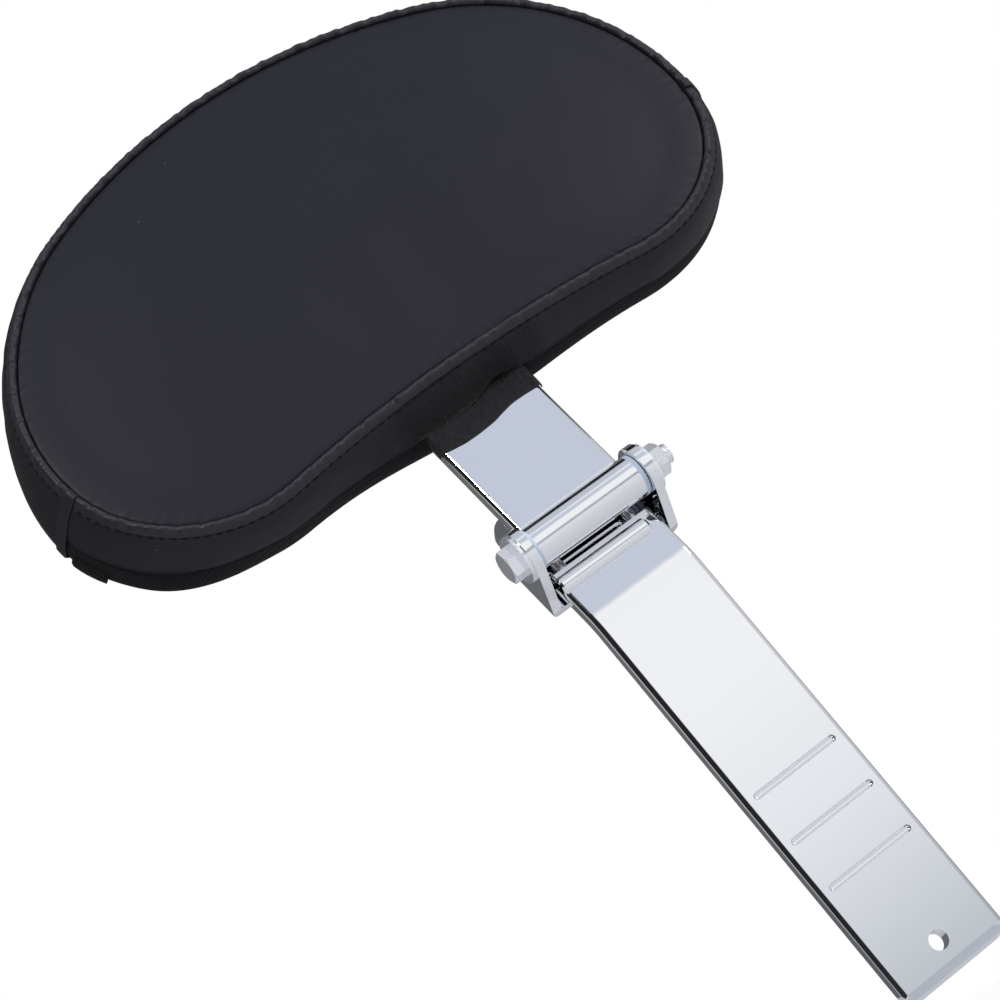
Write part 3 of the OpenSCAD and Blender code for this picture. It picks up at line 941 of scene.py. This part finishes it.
@dataclass
class StitchRow:
    """A row of sewn stitches along a closed line, made with geometry nodes."""

    pitch: float = 0.0044
    length: float = 0.0031
    radius: float = 0.0004
    ragged: tuple = (0.85, 1.05)
    seed: int = 7

    def sizes(self) -> dict[str, float]:
        """The tree's inputs apart from the line, by name."""
        return {"Pitch": self.pitch, "Stitch Length": self.length, "Thread Radius": self.radius,
                "Seed": self.seed}

    def tree(self) -> bpy.types.NodeTree:
        """Builds the node tree: resample the line and set a slim bead at each step.

        Returns:
            The tree.
        """
        made = bpy.data.node_groups.new("stitch_row", "GeometryNodeTree")
        tree = Nodes(made)
        face = made.interface
        face.new_socket("Line", in_out="INPUT", socket_type="NodeSocketGeometry")
        for label, value in self.sizes().items():
            kind = "NodeSocketInt" if label == "Seed" else "NodeSocketFloat"
            face.new_socket(label, in_out="INPUT", socket_type=kind).default_value = value
        face.new_socket("Stitches", in_out="OUTPUT", socket_type="NodeSocketGeometry")
        line, pitch, length, radius, seed = tree.outputs(tree.node("NodeGroupInput"))[:5]
        curve = tree.node("GeometryNodeMeshToCurve", {}, {"Mesh": line})
        steps = tree.node("GeometryNodeResampleCurve", {"mode": "LENGTH"},
                          {"Curve": curve, "Length": pitch})
        tangent = tree.node("GeometryNodeInputTangent")
        turn = tree.node("FunctionNodeAlignRotationToVector", {"axis": "Z"}, {"Vector": tangent})
        bead = tree.node("GeometryNodeMeshUVSphere", {}, {"Segments": 8, "Rings": 6, "Radius": 1.0})
        ragged = tree.node("FunctionNodeRandomValue", {"data_type": "FLOAT"},
                           {2: self.ragged[0], 3: self.ragged[1], "Seed": seed}, 1)
        size = tree.node("ShaderNodeCombineXYZ", {}, [radius, radius, length * 0.5 * ragged])
        row = tree.node("GeometryNodeInstanceOnPoints", {}, {"Points": steps, "Instance": bead,
                                                             "Rotation": turn, "Scale": size})
        real = tree.node("GeometryNodeRealizeInstances", {}, {"Geometry": row})
        done = tree.node("GeometryNodeSetMaterial", {}, {"Geometry": real,
                                                         "Material": Thread().material()})
        tree.node("NodeGroupOutput", {}, [done])
        return made

    def sew(self, name: str, line: np.ndarray) -> bpy.types.Object:
        """Sews a row along a closed line.

        Args:
            name: The piece's name.
            line: The line's points in metres.

        Returns:
            The piece, a plain mesh.
        """
        n = len(line)
        mesh = bpy.data.meshes.new(name)
        mesh.from_pydata([tuple(p) for p in line], [(i, (i + 1) % n) for i in range(n)], [])
        made = put(name, mesh)
        sewn = made.modifiers.new("stitches", "NODES")
        sewn.node_group = self.tree()
        values = self.sizes()
        for socket in sewn.node_group.interface.items_tree:
            if socket.in_out == "INPUT" and socket.name in values:
                sewn[socket.identifier] = values[socket.name]
        make_plain(made)
        return made


@dataclass
class Pad:
    """The cover's own pieces, in millimetres: front, welt, boxing, back, straps, tabs and flap."""

    form: PadForm = field(default_factory=PadForm)
    stuffing: Stuffing = field(default_factory=Stuffing)
    cloth: float = 1.2
    slot_half: float = 31.0
    lobe_sag: float = 6.4
    blade_sag: float = 9.2
    arch_w: float = 60.0
    arch_at: float = 13.0
    strap_w: float = 5.0
    strap_at: tuple = (-8.5, -9.0)
    strap_bevel: float = 0.4
    tab_w: float = 13.0
    tab_at: tuple = (-21.0, -10.0)
    tab_out: tuple = (0.5, 1.9)
    tab_bevel: float = 0.3
    flap_half: float = 26.2
    flap_top: float = 70.5
    flap_edge: tuple = ((-25.6, 55.9), (-21.8, 55.0), (-14.6, 53.9), (-7.5, 53.9), (0.6, 54.5),
                        (5.7, 55.7), (11.1, 56.7), (17.8, 56.7), (24.6, 56.2))
    stitch_at: tuple = (4.82, -2.6)
    padded: tuple = ("pad_front", "pad_welt", "pad_boxing", "pad_back")

    def gathers(self) -> np.ndarray:
        """Small uneven gathers along the seam, in millimetres."""
        return self.form.wander([(97, 0.18, 0.4), (61, 0.14, 2.1), (149, 0.16, 1.0), (23, 0.1, 3.0),
                                 (211, 0.12, 0.3)])

    def dents(self, ring: np.ndarray) -> np.ndarray:
        """Presses two faint soft dents into the front above the blade.

        Args:
            ring: One ring of the front.

        Returns:
            The ring with its dents.
        """
        out = ring.copy()
        for x, z, wide, deep in ((20.0, 338.0, 16.0, 1.1), (-17.0, 345.0, 13.0, 0.8)):
            far = ((ring[:, 0] / MM - x) / wide) ** 2 + ((ring[:, 2] / MM - z) / (2.2 * wide)) ** 2
            out[:, 1] += deep * MM * np.exp(-far)
        return out

    def front(self) -> bpy.types.Object:
        """The crowned front panel, from its middle to the groove of the seam.

        Returns:
            The piece.
        """
        f = self.form
        gather = self.gathers()
        rim = 0.9
        rings = []
        for k in (*np.linspace(0.04, rim, 30), *np.linspace(0.92, 0.995, 10)):
            edge = max(0.0, (k - rim) / 0.095)
            ring = f.ring(0, f.seam + f.swell(k) - 1.5 * (1 - edge) - 0.7 * edge ** 3
                          + 0.3 * gather * edge ** 2, k)
            rings.append(self.dents(self.stuffing.swollen(ring, 1 - edge)))
        rings += [f.ring(e, f.seam - down) for e, down in ((-0.15, 0.9), (0.1, 1.8), (-1.0, 2.6))]
        rings += [f.ring(0, f.seam + f.swell(k) - 4.6, k) for k in (rim, 0.5, 0.06)]
        made = f.skin(rings, "pad_front", Vinyl())
        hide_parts("front_panel", "foam_core")
        return made

    def welt(self) -> bpy.types.Object:
        """The raised, puckered band just outside the seam.

        Returns:
            The piece.
        """
        f = self.form
        g = self.gathers()
        # Distance outside the seam, height over it and share of the gathers
        section = ((0.15, -1.8, 0.0), (0.2, -0.6, 0.3), (0.5, 0.35, 0.8), (1.2, 0.95, 1.2),
                   (2.1, 1.05, 1.2), (3.0, 0.6, 0.9), (3.8, -0.3, 0.5), (4.4, -1.3, 0.2),
                   (4.75, -2.1, 0.0), (4.4, -3.0, 0.0), (2.4, -1.4, 0.0), (1.0, -2.4, 0.0))
        rings = [f.ring(e + 0.3 * g * w, f.seam + up + 1.3 * g * w) for e, up, w in section]
        finish = Vinyl(name="black_vinyl_gathered", gather=1.0, shine=0.4, gather_from=0.004,
                       grain=0.2)
        made = f.skin(rings, "pad_welt", finish, closed=True)
        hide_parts("seam_welt")
        return made

    def sample_at(self, side: Side, angle: float) -> int:
        """The sample of the outline whose normal points most nearly to an angle of a lobe."""
        a = math.radians(angle)
        return int(np.argmax(self.form.normal @ np.array([side.value * math.cos(a), math.sin(a)])))

    def wrapped(self) -> np.ndarray:
        """Tells where the vinyl reaches the back of the pad.

        Returns:
            1 for the samples where it does, 0 for those between the joints along the bottom.
        """
        i = np.arange(self.form.count)
        left, right = (self.sample_at(side, side.of(self.strap_at)) for side in Side)
        return np.where((i >= right) & (i <= left), 1.0, 0.0)

    def loose(self) -> tuple[np.ndarray, np.ndarray]:
        """How far the cover sags, in millimetres.

        Returns:
            The sag round the left lobe and the sag next to the blade, for each sample.
        """
        f = self.form
        x = f.seam_line[:, 0]
        way = np.tanh(x / 20)
        low = np.where(f.seam_line[:, 1] < f.middle, 1.0, 0.0)
        middle = (self.blade_sag - 2.4 * way) * hump(x, 0, 57.6 + 5.9 * way) * low
        below = np.degrees(np.arctan2(-f.normal[:, 1], -f.normal[:, 0]))
        return self.lobe_sag * smooth(below, -32, 22) * (1 - smooth(below, 40, 84)), middle

    def side(self, inset: float = 0.0, wrapped: np.ndarray | None = None) -> list[np.ndarray]:
        """The boxing's rings from the stitch line to its free edge.

        Args:
            inset: How far inside the outer face they lie.
            wrapped: Where the vinyl goes round to the back; as sewn if left out.

        Returns:
            The rings.
        """
        f = self.form
        round_back = self.wrapped() if wrapped is None else wrapped
        lobe, middle = self.loose()
        slack = lobe + middle
        g = f.wander([(37, 0.14, 0.9), (19, 0.16, 2.2), (71, 0.08, 0.2)])
        x = f.seam_line[:, 0] + f.shift
        arch = f.over_blade(self.arch_w) * hump(x, self.arch_at, 11)
        fold = f.over_blade(1.7 * self.slot_half) * (0.3 * np.sin(x / 3.3 + 0.7)
                                                     + 0.15 * np.sin(x / 1.9 + 2.0))
        cover = 0.55 * lobe + 0.7 * middle - 2.6 * arch
        lift = f.over_blade(self.slot_half, 0.8) + 1.4 * arch
        # Distance outside the seam, height ahead of the blade and share of the unevenness
        section = ((4.7, f.seam - 2.3, 0), (5.2, f.seam - 2.9, 0.15), (6.1, f.seam - 4.6, 0.35),
                   (6.9, f.seam - 6.6, 0.6), (7.6, f.seam - 9.0, 0.8), (8.1, f.seam - 11.6, 0.9),
                   (f.out - 0.2, f.seam - 14.0, 0.9), (f.out - 0.1, f.border + 1.4, 0.6),
                   (f.out - 0.2, f.border, 0.4))
        rings = []
        for j, (e, height, w) in enumerate(section):
            share = j / (len(section) - 1)
            ring = f.ring(e - inset + g * w + cover * share ** 1.6
                          + fold * 4 * share * (1 - share), height + 1.4 * lift * share ** 2)
            rings.append(self.stuffing.swollen(ring, 0.35 * share))
        end = rings[-1]
        for inside, height, w in ((0.0, 1.5, 0.68), (0.2, -2.0, 0.84), (0.7, -5.4, 1.0),
                                  (2.4, -7.8, 1.0)):
            far = f.ring(f.out - inside - inset + slack * w, height)
            rings.append(end + round_back[:, None] * (far - end))
        return rings

    def boxing(self) -> bpy.types.Object:
        """The vinyl side band, lifted over the blade, its colour darkened as painted shade.

        Returns:
            The piece.
        """
        rings = self.side() + self.side(self.cloth)[::-1]
        # Colour and second tone darker than the front vinyl's: painted shade for the band that faces
        # down, away from the light.
        finish = Vinyl(name="black_vinyl_boxing_painted_shade", colour=(0.0085, 0.0085, 0.0095),
                       worn=(0.012, 0.012, 0.0135), shine=0.25, gather=0.6, gather_from=0.009,
                       grain=0.22, wrinkle=0.9)
        made = self.form.skin(rings, "pad_boxing", finish, 0.005, closed=True)
        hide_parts("boxing")
        return made

    def band(self) -> bpy.types.Object:
        """The woven band behind the boxing and the back panel in one skin.

        Returns:
            The piece.
        """
        f = self.form
        lobe, middle = self.loose()
        x = f.seam_line[:, 0] + f.shift
        under = 0.9 * self.wrapped() + 1.5 * f.over_blade(self.arch_w) * hump(x, 15, 12)
        # Distance inside the boxing, height ahead of the blade and shares of the two sags
        section = ((self.cloth + 0.9, f.border + 0.8, 0.5, 0.62), (1.1, f.border - 0.3, 0.52, 0.66),
                   (0.9, 2.6, 0.62, 0.78), (0.8, 0.0, 0.75, 0.92), (0.9, -2.6, 0.9, 1.0),
                   (1.3, -5.2, 1.0, 1.0), (2.4, -7.4, 1.0, 1.0), (5.2, -9.0, 0.8, 0.8))
        rings = [f.ring(0, -8.0, k) for k in (0.04, 0.5, 0.93)]
        rings.append(f.ring(f.out - 3.6, -6.4))
        rings += [f.ring(f.out - inside + lobe * w + middle * v - under, height)
                  for inside, height, w, v in section]
        rings += [f.ring(0, -9.2, k) for k in (0.97, 0.8, 0.5, 0.2, 0.04)]
        made = f.skin(rings, "pad_back", Textile())
        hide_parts("back_band", "back_panel", "back_foam")
        return made

    def patch(self, kind: str, side: Side, at: tuple, width: float, rings: list[np.ndarray],
              finish: Finish, bevel: float) -> bpy.types.Object:
        """Sews a short patch at a lobe, in place of the CAD node of its kind and side.

        Args:
            kind: What it is, as its node is named.
            side: The lobe.
            at: Its angle on the left and on the right lobe, in degrees.
            width: Its width along the seam.
            rings: The rings of its section.
            finish: Its finish.
            bevel: How far its edges are rounded.

        Returns:
            The piece.
        """
        f = self.form
        middle = self.sample_at(side, side.of(at))
        half = max(2, round(width / 2 / (f.length / f.count)))
        node = f"{kind}_{side.name.lower()}"
        made = strip(rings, middle - half, middle + half, f"pad_{node}", finish)
        edge = made.modifiers.new("soft_edge", "BEVEL")
        edge.width, edge.segments, edge.limit_method = bevel * MM, 2, "ANGLE"
        edge.angle_limit = math.radians(50)
        make_plain(made)
        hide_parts(node)
        return made

    def strap(self, side: Side) -> bpy.types.Object:
        """The lapped joint of the boxing, folded over the welt at a lobe.

        Args:
            side: The lobe.

        Returns:
            The piece.
        """
        f = self.form
        outer, inner = ([f.ring(e, f.seam + up) for e, up in section] for section in (
            ((0.4, 0.5), (0.8, 1.6), (2.0, 2.0), (3.2, 1.5), (4.4, 0.2), (5.3, -1.6)),
            ((0.4, -0.8), (1.4, 0.6), (2.1, 0.9), (2.9, 0.4), (3.7, -0.6), (4.5, -2.0))))
        whole = np.ones(f.count)
        outer += self.side(-0.8, whole)[1:]
        inner += self.side(0.2, whole)[1:]
        finish = Vinyl(name="black_vinyl_strap", colour=(0.01, 0.01, 0.013),
                       worn=(0.016, 0.016, 0.02), shine=0.3, grain=0.2)
        return self.patch("strap", side, self.strap_at, self.strap_w, outer + inner[::-1], finish,
                          self.strap_bevel)

    def tab(self, side: Side) -> bpy.types.Object:
        """The flat textile tab on the back band next to a joint.

        Args:
            side: The lobe.

        Returns:
            The piece.
        """
        f = self.form
        slack = sum(self.loose())
        proud = f.out + side.of(self.tab_out)
        # Distance outside the seam, share of the sag and height ahead of the blade
        section = ((proud, 0.8, -1.2), (proud + 0.2, 0.95, -3.8), (proud - 0.4, 1.0, -6.8),
                   (f.out - 1.5, 1.0, -6.4), (f.out - 0.8, 0.9, -3.8), (f.out - 0.8, 0.7, -1.4))
        rings = [f.ring(e + slack * share, height) for e, share, height in section]
        return self.patch("tab", side, self.tab_at, self.tab_w, rings, Textile(), self.tab_bevel)

    def lining(self) -> bpy.types.Object:
        """The creased flap of vinyl that comes out of the slot and lies on the blade.

        Returns:
            The piece.
        """
        x = np.linspace(-self.flap_half, self.flap_half, 106)
        low = np.interp(x, *zip(*self.flap_edge))
        low = np.convolve(np.pad(low, 3, mode="edge"), np.ones(7) / 7, mode="valid")
        ends = 1.1 * smooth(np.abs(x), self.flap_half - 1.6, self.flap_half)
        hollow = hump(x, 14, 8)
        creases = 0.28 * np.sin(x / 1.3 + 1.1 * np.sin(x / 4)) + 0.2 * np.sin(x / 0.63 + 1.0)
        outer, inner = [], []
        # Share of the way down and height ahead of the blade's mid-thickness
        for v, height in ((0.0, 5.9), (0.1, 5.8), (0.2, 5.7), (0.32, 5.6), (0.45, 5.6), (0.6, 5.6),
                          (0.75, 5.5), (0.88, 5.3), (0.96, 5.0), (1.0, 4.6)):
            s = self.flap_top + (low - self.flap_top) * v
            f = height - 2 * ends - hollow * (1 - v) + creases * 4 * v * (1 - v)
            outer.append(self.form.hinge.place(x, s, f))
            inner.append(self.form.hinge.place(x, s, np.minimum(f - 0.5, 4.1) - ends))
        finish = Vinyl(name="black_vinyl_creased", colour=(0.006, 0.006, 0.008),
                       worn=(0.01, 0.01, 0.0125), shine=0.45, grain=0.25, wrinkle=1.0)
        return strip(outer + inner[::-1], 0, len(x) - 1, "pad_slot_lining", finish)

    def stitches(self) -> bpy.types.Object:
        """The stitch row along the outer side of the welt.

        Returns:
            The piece.
        """
        out, up = self.stitch_at
        g = 0.05 * self.gathers()
        return StitchRow().sew("pad_stitches", self.form.ring(out + g, self.form.seam + up + g))

    def build(self) -> None:
        """Makes every piece of the cover and attaches it to the backrest's body."""
        self.stuffing.settle()
        made = [(self.front(), Slot.VINYL), (self.welt(), Slot.VINYL), (self.boxing(), Slot.VINYL),
                (self.band(), Slot.TEXTILE)]
        made += [(self.strap(side), Slot.VINYL) for side in Side]
        made += [(self.tab(side), Slot.TEXTILE) for side in Side]
        made += [(self.lining(), Slot.VINYL), (self.stitches(), Slot.TEXTILE)]
        for piece, slot in made:
            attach(piece, Body.BACKREST.value)
            LOG.info("made %s", piece.name)


@dataclass
class Metalwork:
    """Chrome, fasteners and bushes: the CAD solids, the curved ones as evenly shaded copies."""

    post: tuple = ("post", "bead", "hinge_bracket")
    blade: tuple = ("knuckle_tube", "stop_lug", "upper_blade")
    fasteners: tuple = ("hinge_bolt", "head_washer", "nut_washer", "hinge_nut", "stop_screw_left",
                        "stop_screw_right")
    bushes: tuple = ("bush_left", "bush_right")
    hidden: tuple = ("tee_nuts", "pad_screws")
    board: tuple = ("backing_board",)
    crease: float = 24.0
    merge: float = 3e-6
    thread_pitch: float = 0.00125
    thread_root: float = 0.00392
    thread_crest: float = 0.00428
    thread_gap: float = 0.0002

    def shaded(self, name: str, finish: Finish, body: Body) -> None:
        """Replaces a CAD node by a merged copy whose curved faces are shaded evenly.

        Args:
            name: The node.
            finish: Its finish.
            body: The body it rides on.
        """
        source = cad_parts[name].data
        mesh = bpy.data.meshes.new(f"{name}_finished")
        mesh.from_pydata([v.co.copy() for v in source.vertices], [],
                         [tuple(f.vertices) for f in source.polygons])
        shape = bmesh.new()
        shape.from_mesh(mesh)
        bmesh.ops.remove_doubles(shape, verts=shape.verts, dist=self.merge)
        shape.to_mesh(mesh)
        shape.free()
        mesh.polygons.foreach_set("use_smooth", [True] * len(mesh.polygons))
        mesh.set_sharp_from_angle(angle=math.radians(self.crease))
        mesh.materials.append(finish.material())
        made = put(f"{name}_finished", mesh)
        even = made.modifiers.new("even_shine", "WEIGHTED_NORMAL")
        even.mode, even.weight, even.keep_sharp = "FACE_AREA", 100, True
        make_plain(made)
        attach(made, body.value)
        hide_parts(name)
        LOG.info("finished %s", name)

    def dress(self, names: Sequence[str], finish: Finish) -> None:
        """Gives CAD nodes a finish.

        Args:
            names: The nodes.
            finish: Their finish.
        """
        for name in names:
            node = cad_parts[name]
            node.data.materials.clear()
            node.data.materials.append(finish.material())
            LOG.info("dressed %s", name)

    def thread(self) -> None:
        """Rolls the thread on the bolt's free end."""
        low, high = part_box("hinge_bolt")
        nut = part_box("hinge_nut")[1][0]
        y, z = ((low[i] + high[i]) / 2 for i in (1, 2))
        pitch, turns = self.thread_pitch, 40
        rounds = int((high[0] - nut - 2 * self.thread_gap) / pitch)
        profile = ((0.0, self.thread_root), (pitch * 0.3, self.thread_crest),
                   (pitch * 0.6, self.thread_root))
        points, faces = [], []
        for i in range(rounds * turns + 1):
            a = 2 * math.pi * i / turns
            x = nut + self.thread_gap + pitch * i / turns
            points += [(x + dx, y + r * math.cos(a), z + r * math.sin(a)) for dx, r in profile]
            if i:
                k = 3 * i
                faces += [(k - 3, k, k + 1, k - 2), (k - 2, k + 1, k + 2, k - 1),
                          (k - 1, k + 2, k, k - 3)]
        k = len(points) - 3
        faces += [(0, 1, 2), (k + 2, k + 1, k)]
        made = add_mesh("bolt_thread", np.array(points), faces, Plated())
        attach(made, Body.POST.value)
        LOG.info("made %s", made.name)

    def build(self) -> None:
        """Finishes every hard node."""
        for names, finish, body, slot in (
                (self.post, Chrome(), Body.POST, Slot.CHROME),
                (self.blade, Chrome(), Body.BACKREST, Slot.CHROME),
                (self.fasteners, Plated(), Body.POST, Slot.PLATED),
                (self.bushes, Nylon(), Body.BACKREST, Slot.NYLON)):
            for name in names:
                self.shaded(name, finish, body)
        self.dress(self.hidden, Plated())
        self.dress(self.board, Plywood())
        self.thread()


def main() -> None:
    """Builds the studio, the metalwork and the pad."""
    logging.basicConfig(level=logging.INFO, format="%(name)s: %(message)s")
    Studio().build()
    Metalwork().build()
    Pad().build()


if __name__ == "__main__":
    main()
